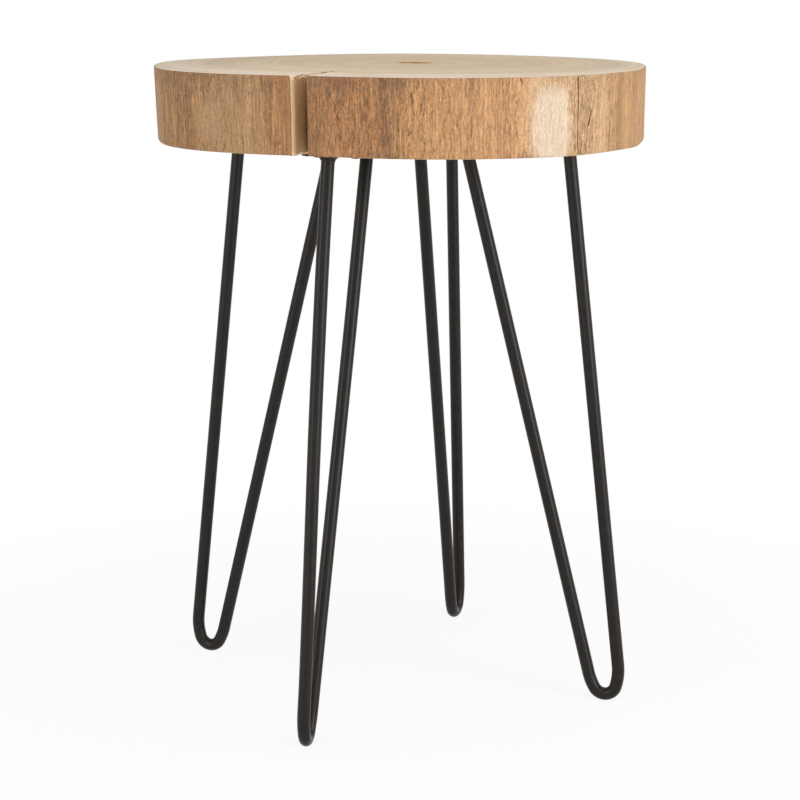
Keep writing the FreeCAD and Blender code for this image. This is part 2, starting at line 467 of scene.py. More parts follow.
print("crack opens", round((left_half + right_half).max() / mm, 1), "mm wide")

# %% Open the crack
cut_with(log_slice, crack)
print("slice with its crack", len(log_slice.data.polygons), "faces")

# %% [markdown]
# ## Fissures
#
# Two thin splits show on the right of the side, one from top to bottom and one short. Each is
# cut by a thin blade: a block divided along its length, then drawn out along a wavering path,
# wide at the surface and closing to nothing at its depth.


# %% Cut a blade's path
blade_overrun = 1.5 * mm
blade_edge, blade_tip = 0.03, 0.04


def blade(name, way, widths, depth, pointed, length_cuts):
    """A thin wedge along a way up the side. It is widest outside and closes at its depth."""
    bpy.ops.mesh.primitive_cube_add(size=1)
    cutter = start_piece(name)
    divide(cutter, "z", 0.5, length_cuts)
    block = points_of(cutter)
    share = block[:, 2] + 0.5
    spine, out = way(share)
    across = np.cross(out, np.gradient(way(np.linspace(0, 1, 50))[0], axis=0).mean(axis=0))
    across /= np.linalg.norm(across, axis=1)[:, None]
    outside = block[:, 0] > 0
    taper = np.clip(np.minimum(share, 1 - share) * 8, blade_tip, 1) if pointed else 1
    wide = np.interp(share, (0, 0.7, 1), widths) * taper * np.where(outside, 1.0, blade_edge)
    reach = np.where(outside, blade_overrun, -depth)
    spots = spine + out * reach[:, None] + across * (np.sign(block[:, 1]) * wide / 2)[:, None]
    move_points(cutter, spots)
    cutter.data.materials.append(split_grain)
    fix_normals(cutter)
    return cutter


def up_the_side(angle_low, angle_high, height_low, height_high, waver, seed):
    """A way up the slice's side: for each share of it a place, and the direction outwards."""

    def way(share):
        shaky = np.array([noise.noise(Vector((value * 6, seed, 0.0))) for value in share])
        angles = angle_low + (angle_high - angle_low) * share + waver * shaky
        heights = height_low + (height_high - height_low) * share
        turn = np.radians(angles)
        out = np.stack([np.cos(turn), np.sin(turn), 0 * turn], axis=1)
        places = out * reach_at(angles, heights)[:, None]
        places[:, 2] = heights
        return places, out

    return way


# %% Cut the two fissures
long_way = up_the_side(-28.8, -29.1, underside - 2 * mm, top + 2 * mm, 0.4, 1.5)
long_widths = (0.7 * mm, 1.1 * mm, 2.8 * mm)
cut_with(log_slice, blade("long_fissure", long_way, long_widths, 6 * mm, False, 60))

short_way = up_the_side(-25.9, -24.3, underside + 20 * mm, underside + 36 * mm, 0.25, 4.2)
short_widths = (2.2 * mm, 2.0 * mm, 1.2 * mm)
cut_with(log_slice, blade("short_fissure", short_way, short_widths, 4 * mm, True, 24))
print("slice with its fissures", len(log_slice.data.polygons), "faces")

# %% [markdown]
# ## The pith
#
# The soft heart of the log is worn to a shallow hollow, wider at one end. A ball, squashed,
# drawn to a drop and made uneven, is sunk into the top there and cut away.

# %% Hollow the pith
pith_centre = Vector((1.5 * mm, 32.0 * mm, top))
pith_half_width = 15.0 * mm
pith_broad_share, pith_narrow_share = 0.72, 0.42
pith_depth = 4.0 * mm

bpy.ops.mesh.primitive_ico_sphere_add(subdivisions=5, radius=1)
pith = start_piece("pith_cutter")
ball = points_of(pith)
lumps = 1 + 0.10 * wander(ball, 0.7, 0.7, 8) + 0.05 * wander(ball, 0.2, 0.2, 9)
drop = pith_narrow_share + (pith_broad_share - pith_narrow_share) * (ball[:, 0] + 1) / 2
ball *= lumps[:, None]
ball[:, 1] *= drop
ball[:, :2] *= pith_half_width
ball[:, 2] *= pith_depth
move_points(pith, ball + np.array(pith_centre))
pith.data.materials.append(pith_wood)
cut_with(log_slice, pith)
smooth(log_slice, 38)
print("finished slice", len(log_slice.data.polygons), "faces")

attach(log_slice, "root")
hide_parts("slab_top")

# %% [markdown]
# ## The hairpin bar
#
# A hairpin leg is one length of round bar, bent cold round a former. The same is done here:
# a ring of points is the bar's cut end. It is drawn straight down, spun round the long easy
# arc, round the tight bend at the foot and round the second easy arc, and drawn up again. A
# curve with a bevel would give the same tube, but spinning keeps the rings even.


# %% Work out the bend
foot_centre = Vector((foot_reach, 0, bend_radius + rod_radius))


def half_bend(side, top_reach, ease_angle):
    """One run's high and low end, its easy arc's centre and turn, where that arc meets the
    tight bend, and the run's direction. Side is 1 for the outer run and -1 for the inner."""
    aim = Vector((top_reach, 0, underside))
    drop = math.radians(ease_angle)
    meeting = Vector((side * math.cos(drop), 0, -math.sin(drop)))
    ease_centre = foot_centre - meeting * (ease_radius - bend_radius)
    reach = aim - ease_centre
    opening = math.acos(ease_radius / reach.length) * side
    touch = Matrix.Rotation(opening, 3, "Y") @ reach.normalized()
    low = ease_centre + touch * ease_radius
    return aim, low, ease_centre, touch.angle(meeting), meeting, (aim - low).normalized()


outer_start, outer_low, outer_ease, outer_turn, outer_meeting, outer_run = half_bend(
    1, rod_outer_top, outer_ease_angle
)
inner_start, inner_low, inner_ease, inner_turn, inner_meeting, inner_run = half_bend(
    -1, rod_inner_top, inner_ease_angle
)
foot_turn = outer_meeting.angle(inner_meeting)
print("the bar turns", round(math.degrees(outer_turn + foot_turn + inner_turn)), "degrees in all")

# %% [markdown]
# The ring has 40 points, so that the bar's outline stays round in a close look. The ends are
# left long, and are cut level with the plate once each leg has its own lean.

# %% Draw and bend the bar
bar_points = 40
straight_pieces = 24
bends = ((10, outer_turn, outer_ease), (24, foot_turn, foot_centre), (10, inner_turn, inner_ease))


def draw_out(way):
    """Draws the bar's end out this far, in short pieces."""
    for piece in range(straight_pieces):
        bpy.ops.mesh.extrude_region_move(TRANSFORM_OT_translate={"value": way / straight_pieces})


bpy.ops.mesh.primitive_circle_add(
    vertices=bar_points,
    radius=rod_radius,
    fill_type="NGON",
    location=outer_start,
    rotation=outer_run.to_track_quat("Z", "Y").to_euler(),
)
bar = start_piece("bar")
edit_all()
draw_out(outer_low - outer_start)
for steps, turn, centre in bends:
    bpy.ops.mesh.spin(steps=steps, angle=turn, center=centre, axis=(0, -1, 0))
draw_out(inner_start - inner_low)
done()
fix_normals(bar)
low, high = points_of(bar).min(axis=0), points_of(bar).max(axis=0)
print("bar from", low.round(4), "to", high.round(4))

# %% [markdown]
# ## The mounting plate
#
# A piece of flat bar, sawn off and rounded at its corners, with four holes. A cube is scaled
# to the stock, its upright edges are bevelled wide for the corners, drills are taken out of
# it, and one fine bevel breaks every edge that a grinder would.

# %% Make the plate
plate_outer = rod_outer_top + plate_end_margin
plate_inner = rod_inner_top - plate_end_margin
hole_radius = 2.75 * mm
broken_edge = 0.4 * mm
screw_side = 15.5 * mm
screw_from_rod = 18.0 * mm
screw_places = [
    Vector((along, side, plate_bottom))
    for along in (rod_inner_top + screw_from_rod, rod_outer_top - screw_from_rod)
    for side in (-screw_side, screw_side)
]

bpy.ops.mesh.primitive_cube_add(
    size=1,
    location=((plate_outer + plate_inner) / 2, 0, underside - plate_thickness / 2),
    scale=(plate_outer - plate_inner, plate_width, plate_thickness),
)
plate = start_piece("plate")
pick_edges(plate, lambda a, b: abs(a.z - b.z) > plate_thickness / 2)
bpy.ops.mesh.bevel(offset=plate_corner, segments=10, affect="EDGES")
done()
for place in screw_places:
    bpy.ops.mesh.primitive_cylinder_add(
        vertices=40, radius=hole_radius, depth=plate_thickness * 3, location=place
    )
    cut_with(plate, start_piece("drill"))
bevel = plate.modifiers.new("broken_edges", "BEVEL")
bevel.width = broken_edge
bevel.segments = 2
bevel.limit_method = "ANGLE"
bevel.angle_limit = math.radians(40)
apply_all(plate)
smooth(plate, 35)
print("plate", len(plate.data.polygons), "faces")

# %% [markdown]
# ## The weld
#
# Each bar is welded to its plate all round. A hand-laid bead is a hollow ring with ripples,
# one for each dab of the torch. A circle at the bead's toe is drawn up and widened in small
# steps along a hollow curve, closed inside against the bar, and then rippled. Later it is
# tilted onto the bar, cut off flat at the plate and ground flush with the plate's end.

# %% Lay one bead
weld_leg = 3.1 * mm
weld_height = 3.3 * mm
weld_toe = 0.5 * mm
weld_points = 144
weld_steps = 7
weld_hollow = 1.7
ripple_count = 22
ripple_height = 0.22 * mm
ripple_lean = 1.3
lump_size = 4 * mm
weld_past = 3.0 * mm
toe_radius = rod_radius + weld_toe
hidden_radius = rod_radius - weld_toe / 2

bpy.ops.mesh.primitive_circle_add(
    vertices=weld_points, radius=toe_radius, fill_type="NOTHING", location=(0, 0, -weld_height)
)
bead = start_piece("bead")


def grow_ring(rise, old_radius, new_radius):
    """Extrudes the ring in hand upwards and scales it to a new radius."""
    bpy.ops.mesh.extrude_region_move(TRANSFORM_OT_translate={"value": (0, 0, rise)})
    share = new_radius / old_radius
    bpy.ops.transform.resize(value=(share, share, 1))


edit_all()
radius = toe_radius
for step in range(1, weld_steps + 1):
    wider = toe_radius + (weld_leg - weld_toe) * (step / weld_steps) ** weld_hollow
    grow_ring(weld_height / weld_steps, radius, wider)
    radius = wider
grow_ring(weld_past, radius, radius)
grow_ring(0, radius, hidden_radius)
grow_ring(-weld_past - weld_height, hidden_radius, hidden_radius)
done()
pick_edges(bead, at_level(-weld_height))
bpy.ops.mesh.bridge_edge_loops()
done()

rings = points_of(bead)
turn = np.arctan2(rings[:, 1], rings[:, 0])
reach = np.hypot(rings[:, 0], rings[:, 1])
outside = np.clip((reach - rod_radius) / weld_leg, 0, 1)
ripple = np.abs(np.sin(turn * ripple_count / 2 + rings[:, 2] / weld_height * ripple_lean))
lumps = wander(rings, lump_size, lump_size, 11)
swell = ripple_height * (ripple - 0.5 + lumps) * np.minimum(outside * 3, 1)
rings[:, :2] *= (1 + swell / reach)[:, None]
move_points(bead, rings)
fix_normals(bead)
print("bead", len(bead.data.polygons), "faces")


# %% Copy the bead to both bars
def copy_of(piece, name):
    """A copy with its own mesh."""
    twin = piece.copy()
    twin.data = piece.data.copy()
    twin.name = name
    twin.data.name = name
    bpy.context.collection.objects.link(twin)
    return twin


def settle(piece, matrix):
    """Moves a piece, and leaves its object at the origin with its place in its mesh."""
    piece.matrix_world = matrix
    only(piece)
    bpy.ops.object.transform_apply(location=True, rotation=True, scale=True)


def join(pieces, name):
    """Makes one piece of several."""
    only(pieces[0])
    for piece in pieces:
        piece.select_set(True)
    bpy.ops.object.join()
    pieces[0].name = name
    pieces[0].data.name = name
    return pieces[0]


def trim(piece, place, outwards):
    """Cuts a piece off flat at a plane and closes the cut."""
    pick_faces(piece, lambda centre, normal: True)
    bpy.ops.mesh.bisect(plane_co=place, plane_no=outwards, use_fill=True, clear_outer=True)
    done()


bead_turn = 0.7
bead_masters = []
for number, (start, run) in enumerate(((outer_start, outer_run), (inner_start, inner_run))):
    twin = copy_of(bead, "bead_%d" % number)
    tilt = run.to_track_quat("Z", "Y").to_matrix().to_4x4()
    at_plate = start - run * (plate_thickness / run.z)
    settle(twin, Matrix.Translation(at_plate) @ tilt @ Matrix.Rotation(number * bead_turn, 4, "Z"))
    bead_masters.append(twin)
bpy.data.objects.remove(bead)
print("two beads", len(bead_masters[0].data.polygons) * 2, "faces")

# %% [markdown]
# ## The screw
#
# A pan head wood screw with a cross recess. The head grows from one circle, by extruding and
# scaling along a dome. The thread is a cylinder in fine rows, whose points are pulled out
# along a helix and drawn in to a point at the end.

# %% Form the head
screw_radius = 2.25 * mm
screw_length = 30.0 * mm
head_radius = 4.5 * mm
head_height = 3.0 * mm
head_rim = 1.1 * mm
dome_steps = 7
dome_fullness = 0.8
crown_share = 0.12

bpy.ops.mesh.primitive_circle_add(vertices=48, radius=screw_radius, fill_type="NGON", location=(0, 0, 0))
head = start_piece("head")
edit_all()
grow_ring(0, screw_radius, head_radius)
grow_ring(-head_rim, head_radius, head_radius)
radius, level = head_radius, -head_rim
for step in range(1, dome_steps + 1):
    turn = math.pi / 2 * step / dome_steps
    smaller = head_radius * (crown_share + (1 - crown_share) * math.cos(turn) ** dome_fullness)
    lower = -head_rim - (head_height - head_rim) * math.sin(turn)
    grow_ring(lower - level, radius, smaller)
    radius, level = smaller, lower
done()
fix_normals(head)

# %% Sink the cross recess
recess_span = 5.0 * mm
recess_width = 1.2 * mm
recess_depth = 2.0 * mm
recess_taper = 0.45

for span in ((recess_span, recess_width), (recess_width, recess_span)):
    bpy.ops.mesh.primitive_cube_add(
        size=1, location=(0, 0, -head_height), scale=(*span, recess_depth * 2)
    )
    punch = start_piece("punch")
    pick_faces(punch, lambda centre, normal: normal.z > 0.5)
    bpy.ops.transform.resize(value=(recess_taper, recess_taper, 1))
    done()
    cut_with(head, punch)
smooth(head, 35)
print("head", len(head.data.polygons), "faces")

# %% Cut the thread
thread_pitch = 1.9 * mm
thread_depth = 0.75 * mm
thread_sharpness = 3.2
thread_columns = 18
thread_rows = 104
thread_start = 5.0 * mm
point_length = 7.0 * mm
point_tip = 0.04

bpy.ops.mesh.primitive_cylinder_add(
    vertices=thread_columns, radius=screw_radius, depth=screw_length, location=(0, 0, screw_length / 2)
)
shank = start_piece("shank")
divide(shank, "z", screw_length / 2, thread_rows)

rows = points_of(shank)
turn = np.arctan2(rows[:, 1], rows[:, 0]) / math.tau
phase = (rows[:, 2] / thread_pitch - turn) % 1
crest = np.clip(1 - np.abs(phase - 0.5) * thread_sharpness, 0, 1)
threaded = np.clip((rows[:, 2] - thread_start) / thread_pitch, 0, 1)
radius = screw_radius - thread_depth * (1 - crest) * threaded
taper = np.clip((screw_length - rows[:, 2]) / point_length, point_tip, 1)
rows[:, :2] *= (radius * taper / screw_radius)[:, None]
move_points(shank, rows)
fix_normals(shank)
smooth(shank, 35)
screw = join([head, shank], "screw")
print("screw", len(screw.data.polygons), "faces")

# %% [markdown]
# ## Four legs
#
# Everything above was modelled once, along +X. Each leg gets its own copies. A bar that came
# out of the bending a little off, as the front one did, has its tight bend turned and its
# outer run sprung into a long S. The bars and beads then get their leg's small sideways sway
# and are cut off at the plate, and the whole leg is turned to its place. Every screw stops at
# its own angle.


# %% Fit the legs
bend_turn_height = 330.0 * mm
bend_half_span = bend_radius + 1 * mm
spring_wave, spring_bow = 0.85, 0.45


def leg_place(number, leg):
    """The move that takes a piece modelled along +X to its leg."""
    foot = Vector((foot_reach, 0, 0))
    return (
        Matrix.Rotation(math.radians(90 * number + leg.offset), 4, "Z")
        @ Matrix.Translation(foot)
        @ Matrix.Rotation(math.radians(leg.twist), 4, "Z")
        @ Matrix.Translation(-foot)
    )


def leaned(leg):
    """The sideways lean of a leg's bar at the plate, with its foot back on the floor."""
    sway = math.radians(leg.sway)
    high = Vector((0, 0, underside))
    drop = Vector((0, 0, (underside - rod_radius) * (1 - math.cos(sway))))
    return Matrix.Translation(high - drop) @ Matrix.Rotation(sway, 4, "X") @ Matrix.Translation(-high)


def bend_by_hand(piece, leg):
    """Turns a bar's tight bend about the upright, and springs its outer run into a long S."""
    rings = points_of(piece)
    off = np.clip(rings[:, 0] - foot_reach, -bend_half_span, bend_half_span)
    fade = np.clip(1 - rings[:, 2] / bend_turn_height, 0, 1)
    rings[:, 1] += math.sin(math.radians(leg.bend_turn)) * off * fade
    share = np.clip(rings[:, 2] / underside, 0, 1)
    between_runs = foot_reach - (foot_reach - (rod_outer_top + rod_inner_top) / 2) * share
    outer = np.clip((rings[:, 0] - between_runs) / bend_radius + 0.5, 0, 1)
    wave = spring_wave * np.sin(math.tau * share) + spring_bow * np.sin(math.pi * share)
    rings[:, 1] += leg.spring * outer * wave
    move_points(piece, rings)


leg_bars, leg_plates, leg_welds, leg_screws = [], [], [], []
turns = np.random.default_rng(7).uniform(0, math.pi, size=(len(legs), len(screw_places)))
for number, (side, leg) in enumerate(legs.items()):
    place = leg_place(number, leg)
    swayed_bar = copy_of(bar, side + "_hairpin_bar")
    bend_by_hand(swayed_bar, leg)
    beads = [copy_of(master, side + "_bead") for master in bead_masters]
    for piece in [swayed_bar] + beads:
        settle(piece, leaned(leg))
        trim(piece, (0, 0, plate_bottom), (0, 0, 1))
    trim(beads[0], (plate_outer, 0, 0), (1, 0, 0))
    trim(beads[1], (plate_inner, 0, 0), (-1, 0, 0))
    for piece in [swayed_bar] + beads:
        fix_normals(piece)
    leg_bars.append(swayed_bar)
    leg_welds.append(join(beads, side + "_weld_beads"))
    leg_plates.append(copy_of(plate, side + "_mounting_plate"))
    for piece in (leg_bars[-1], leg_plates[-1], leg_welds[-1]):
        settle(piece, place)
    smooth(leg_bars[-1], 50)
    smooth(leg_welds[-1], 60)
    driven = []
    for spot, turn in zip(screw_places, turns[number]):
        twin = copy_of(screw, "driven_screw")
        settle(twin, place @ Matrix.Translation(spot) @ Matrix.Rotation(turn, 4, "Z"))
        driven.append(twin)
    leg_screws.append(join(driven, side + "_wood_screws"))
for master in [bar, plate, screw] + bead_masters:
    bpy.data.objects.remove(master)

for number, side in enumerate(legs):
    for group, node, slot in (
        (leg_bars, "_leg_rod", "black_steel"),
        (leg_plates, "_leg_plate", "black_steel"),
        (leg_welds, "_leg_welds", "black_steel"),
        (leg_screws, "_leg_screws", "black_screw"),
    ):
        piece = group[number]
        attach(piece, "root")
        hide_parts(side + node)
        low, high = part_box(side + node)
        ours = points_of(piece)
        low_gap = np.abs(ours.min(axis=0) - np.array(low)).max()
        high_gap = np.abs(ours.max(axis=0) - np.array(high)).max()
        print(piece.name, "is within", round(max(low_gap, high_gap) / mm, 2), "mm of its solid")

# %% [markdown]
# ## Writing materials as sums
#
# A material is a graph of nodes, but most of it is arithmetic. This small class wraps a
# node's output, so that Python's own operators add the Math nodes, and one method adds every
# other kind of node.


# %% A wire and a finish
def shade(red, green, blue):
    """A colour as it is seen on a screen, from 0 to 255, turned into linear light."""
    linear = []
    for value in (red, green, blue):
        share = value / 255
        linear.append(share / 12.92 if share <= 0.04045 else ((share + 0.055) / 1.055) ** 2.4)
    return (*linear, 1.0)


class Wire:
    """A node's output. Arithmetic on it adds Math nodes."""

    def __init__(self, finish, socket):
        self.finish = finish
        self.socket = socket

    def sum(self, operation, *values):
        """One Math node that works on these values."""
        inputs = dict(enumerate(values))
        return self.finish.node("ShaderNodeMath", {"operation": operation}, inputs)

    def larger(self, other):
        """The larger of the two."""
        return self.sum("MAXIMUM", self, other)

    def __add__(self, other):
        return self.sum("ADD", self, other)

    def __radd__(self, other):
        return self.sum("ADD", other, self)

    def __sub__(self, other):
        return self.sum("SUBTRACT", self, other)

    def __rsub__(self, other):
        return self.sum("SUBTRACT", other, self)

    def __mul__(self, other):
        return self.sum("MULTIPLY", self, other)

    def __rmul__(self, other):
        return self.sum("MULTIPLY", other, self)

    def __truediv__(self, other):
        return self.sum("DIVIDE", self, other)

    def __rtruediv__(self, other):
        return self.sum("DIVIDE", other, self)


class Finish:
    """A material that is being written."""

    def __init__(self, material):
        self.tree = material.node_tree

    def node(self, kind, settings=None, inputs=None, out=0):
        """Adds any node: its settings first, then the values or wires of its inputs."""
        made = self.tree.nodes.new(kind)
        for name, value in (settings or {}).items():
            if name == "stops":
                self.set_stops(made.color_ramp, value)
            elif name == "blending":
                made.color_ramp.interpolation = value
            else:
                setattr(made, name, value)
        for name, value in (inputs or {}).items():
            if isinstance(value, Wire):
                self.tree.links.new(value.socket, made.inputs[name])
            else:
                made.inputs[name].default_value = value
        return Wire(self, made.outputs[out]) if made.outputs else None

    def set_stops(self, ramp, stops):
        """Gives a ramp its stops, from left to right."""
        while len(ramp.elements) > 1:
            ramp.elements.remove(ramp.elements[-1])
        ramp.elements[0].position = stops[0][0]
        ramp.elements[0].color = stops[0][1]
        for position, colour in stops[1:]:
            ramp.elements.new(position).color = colour

    def spot(self):
        """The place on the piece, in millimetres."""
        here = self.node("ShaderNodeTexCoord", out="Object")
        return self.stretch(here, (1 / mm, 1 / mm, 1 / mm))

    def lit(self, colour, share):
        """A colour made lighter or darker by a varying share."""
        return self.node("ShaderNodeVectorMath", {"operation": "SCALE"}, {0: colour, 3: share})

    def length(self, place):
        """How far a place is from zero."""
        return self.node("ShaderNodeVectorMath", {"operation": "LENGTH"}, {0: place}, out="Value")

    def stretch(self, place, scale):
        """A place with each axis scaled."""
        return self.node("ShaderNodeVectorMath", {"operation": "MULTIPLY"}, {0: place, 1: scale})

    def moved(self, place, shift):
        """A place that is moved by a fixed or a varying amount."""
        return self.node("ShaderNodeVectorMath", {"operation": "ADD"}, {0: place, 1: shift})

    def axes(self, place):
        """The three numbers of a place."""
        split = self.node("ShaderNodeSeparateXYZ", inputs={0: place}).socket.node
        return [Wire(self, output) for output in split.outputs]

    def join(self, x, y, z):
        """A place from three numbers."""
        return self.node("ShaderNodeCombineXYZ", inputs={0: x, 1: y, 2: z})

    def bearing(self, x, y):
        """The angle round the upright axis, in degrees."""
        return y.sum("ARCTAN2", y, x) * (180 / math.pi)

    def away(self, place, middle, sizes):
        """How far a place is from a middle, measured in these half sizes across and up."""
        shifted = self.moved(place, (-middle[0], -middle[1], 0))
        return self.length(self.stretch(shifted, (1 / sizes[0], 1 / sizes[1], 0)))

    def grain(self, place, size, detail=3.0, roughness=0.55):
        """Cloudy noise from 0 to 1 in patches of this size."""
        inputs = {"Vector": place, "Scale": 1 / size, "Detail": detail, "Roughness": roughness}
        return self.node("ShaderNodeTexNoise", {"noise_dimensions": "3D"}, inputs)

    def layers(self, distance, width, detail):
        """Noise from 0 to 1 along one distance, in layers of about this width."""
        inputs = {"W": distance / width, "Scale": 1.0, "Detail": detail}
        return self.node("ShaderNodeTexNoise", {"noise_dimensions": "1D"}, inputs)

    def step(self, value, low, high):
        """Rises smoothly from 0 at low to 1 at high. With low above high it falls."""
        settings = {"interpolation_type": "SMOOTHSTEP"}
        if low < high:
            return self.node("ShaderNodeMapRange", settings, {0: value, 1: low, 2: high})
        return self.node("ShaderNodeMapRange", settings, {0: value, 1: high, 2: low, 3: 1.0, 4: 0.0})

    def band(self, value, middle, half, soft):
        """1 within half of the middle, falling to 0 over the soft width."""
        apart = value - middle
        return self.step(apart.sum("ABSOLUTE", apart), half + soft, half)

    def ramp(self, value, tones):
        """A colour for each value, from pairs of value and colour on a screen."""
        stops = [(at, shade(*tone)) for at, tone in tones]
        return self.node("ShaderNodeValToRGB", {"stops": stops}, {0: value})

    def gains(self, value, stops):
        """A smooth number for each value, from pairs of value and number."""
        greys = [(at, (gain, gain, gain, 1)) for at, gain in stops]
        return self.node("ShaderNodeValToRGB", {"stops": greys, "blending": "EASE"}, {0: value})

    def blots(self, chart, ragged, places):
        """Soft uneven spots on a chart, each with its middle, half sizes and strength."""
        whole = None
        for across, up, wide, tall, strength in places:
            distance = self.away(chart, (across, up), (wide, tall))
            spot = self.step(distance + ragged, 1.35, 0.55) * strength
            whole = spot if whole is None else whole.larger(spot)
        return whole

    def mix(self, share, first, second):
        """One colour laid over another."""
        return self.node("ShaderNodeMix", {"data_type": "RGBA"}, {0: share, 6: first, 7: second}, out=2)

    def bump(self, height, distance):
        """A normal from a height in millimetres."""
        return self.node("ShaderNodeBump", inputs={"Height": height, "Distance": distance})

    def surface(self, **inputs):
        """Ends the material with its shader."""
        named = {name.replace("_", " "): value for name, value in inputs.items()}
        shader = self.node("ShaderNodeBsdfPrincipled", inputs=named)
        self.node("ShaderNodeOutputMaterial", inputs={"Surface": shader})


# %% [markdown]
# ## Long grain
#
# The debarked side is the tree's own surface: short upright fibres that waver, longer bands,
# dark flecks where the bark clung, grey weathering under the top edge and one bare pale
# patch. The angle round the trunk chooses the ground colour from a ramp. Noise in four sizes,
# most of it drawn out upwards, then makes it lighter and darker and tints its extremes.

# %% Paint the side
wood_tones = {
    "weathered": (156, 116, 76),
    "brown": (150, 107, 69),
    "red_brown": (164, 116, 74),
    "tan": (170, 132, 92),
    "honey": (180, 134, 88),
    "orange_tan": (183, 137, 93),
    "golden": (174, 135, 93),
    "pale_tan": (189, 151, 111),
}
side_tones = (
    (-180, "honey"), (-150, "tan"), (-137, "weathered"), (-122, "weathered"), (-117, "tan"),
    (-106, "tan"), (-99, "red_brown"), (-91, "brown"), (-82, "red_brown"), (-77, "red_brown"),
    (-72, "brown"), (-66, "honey"), (-54, "orange_tan"), (-43, "orange_tan"), (-39.5, "pale_tan"),
    (-21, "pale_tan"), (-16, "golden"), (5, "golden"), (40, "honey"), (75, "pale_tan"),
    (110, "tan"), (145, "orange_tan"), (180, "honey"),
)


def turned(angle):
    """An angle round the trunk as a share of the full turn, from the back."""
    return (angle + 180) / 360


side = Finish(long_grain)
spot = side.spot()
x, y, z = side.axes(spot)
rise = z - underside / mm
angle = side.bearing(x, y)
waver = side.grain(side.stretch(spot, (1, 1, 0.5)), 22, 2) - 0.5
ripple = side.grain(side.stretch(spot, (1, 1, 0.8)), 5, 2) - 0.5
swirl = side.band(angle, -26, 4, 8) + side.band(angle, -43, 1, 3)
sway = waver * 4 + ripple * (0.8 + swirl * 2.6)
bent = side.moved(spot, side.join(sway, sway, 0))
shaky = angle + waver * 4 + ripple * (0.8 + swirl * 1.2)
around = turned(shaky)

colour = side.ramp(around, [(turned(at), wood_tones[tone]) for at, tone in side_tones])
print("ground colour from", len(wood_tones), "tones")

# %% Draw the fibres
rough_places = (
    (-180, 0.9), (-135, 1.15), (-122, 1.1), (-112, 0.7), (-98, 0.8), (-88, 1.3), (-72, 1.3),
    (-62, 0.95), (-50, 0.8), (-42, 1.15), (-31, 1.1), (-28, 1.0), (-18, 1.0), (-12, 0.6),
    (60, 0.8), (180, 0.9),
)
fibre_shadow, fibre_light = shade(112, 74, 46), shade(236, 200, 152)


def by_angle(places):
    """A number that changes smoothly round the trunk, from pairs of angle and number."""
    return side.gains(around, [(turned(at), gain) for at, gain in places])


flecks = side.grain(side.stretch(bent, (1, 1, 0.17)), 1.35, 2, 0.6)
fibres = side.grain(side.stretch(bent, (1, 1, 0.03)), 2.0, 3, 0.6)
bands = side.grain(side.stretch(bent, (1, 1, 0.035)), 10, 2, 0.5)
fine = side.grain(side.stretch(bent, (1, 1, 0.45)), 1.0, 2)

short_grain = ((flecks - 0.5) * 1.6 + (fine - 0.5) * 1.4) * by_angle(rough_places)
lighter = short_grain + (fibres - 0.5) * 1.1 + (bands - 0.5) * 0.6
colour = side.lit(colour, 1 + lighter)
colour = side.mix(side.step(flecks, 0.38, 0.24) * 0.5, colour, fibre_shadow)
colour = side.mix(side.step(fibres, 0.58, 0.74) * 0.35, colour, fibre_light)
print("fibres in four sizes, with", len(long_grain.node_tree.nodes), "nodes so far")

# %% [markdown]
# The marks are few and each has its place: grey stains that hang from the top edge, two
# narrow grey rows of painted shade along the long fissure's lip, dark flecks where bark clung
# in the grain, and a few lighter spots. Each row of a table gives a middle by angle and height,
# two half sizes and a strength. A chart of angle and height, made ragged by the fibres, puts
# each one where it is on the tree.

# %% Stain and mark the side
stain_and_shade_places = (
    (-124.0, 50, 2.6, 11, 0.55),
    (-115.6, 57, 1.0, 5, 0.5),
    (-110.5, 57, 0.9, 5, 0.5),
    (-101.6, 52, 2.0, 7, 0.45),
    (-85.0, 55, 5.0, 6, 0.6),
    (-71.4, 55, 1.9, 7, 0.6),
    (-72.3, 38, 1.2, 15, 0.5),
    (-71.8, 16, 1.4, 11, 0.55),
    (-67.0, 55, 3.0, 4.5, 0.5),
    (-71.3, 1.5, 2.6, 2.5, 0.5),
    (-52.7, 59, 1.4, 3, 0.4),
    (-27.2, 35, 1.8, 30, 0.22),
    (-28.0, 8, 1.3, 8, 0.5),
    # These two narrow rows are painted shade along the long fissure's lip.
    (-28.5, 48, 0.4, 14, 0.4),
    (-28.6, 22, 0.4, 26, 0.35),
    (-41.2, 2, 1.6, 5, 0.5),
    (-17.6, 30, 0.5, 44, 0.35),
    (150.0, 48, 5.0, 12, 0.5),
    (95.0, 52, 7.0, 9, 0.5),
    (40.0, 50, 3.0, 12, 0.4),
)
fleck_places = (
    (-114.0, 4, 0.4, 5, 0.45),
    (-99.8, 9.5, 1.2, 2.2, 0.45),
    (-84.3, 36.5, 0.22, 4, 0.6),
    (-77.9, 31.4, 0.25, 4, 0.65),
    (-77.0, 23.2, 0.35, 4, 0.45),
    (-66.9, 43, 0.22, 6, 0.65),
    (-64.8, 37, 0.22, 5, 0.65),
    (-53.9, 20, 0.22, 4.5, 0.5),
    (-43.6, 57, 0.25, 3.4, 0.75),
    (-27.6, 61, 2.0, 1.2, 0.8),
    (62.0, 30, 0.25, 6, 0.6),
    (128.0, 22, 0.25, 7, 0.6),
    (170.0, 40, 0.3, 5, 0.6),
)
light_places = (
    (-39.8, 50, 2.0, 14, 0.25),
    (-42.8, 30, 0.5, 34, 0.14),
    (-20.6, 25, 1.6, 34, 0.08),
    (-119.0, 24, 3.0, 14, 0.12),
    (80.0, 20, 4.0, 22, 0.3),
)
edge_places = (
    (-160, 0.3), (-126, 0.7), (-112, 0.45), (-98, 0.15), (-88, 0.6), (-80, 0.6), (-76, 0.3),
    (-70, 0.6), (-62, 0.3), (-48, 0.25), (-38, 0.0), (-10, 0.1), (60, 0.3), (120, 0.6), (160, 0.3),
)
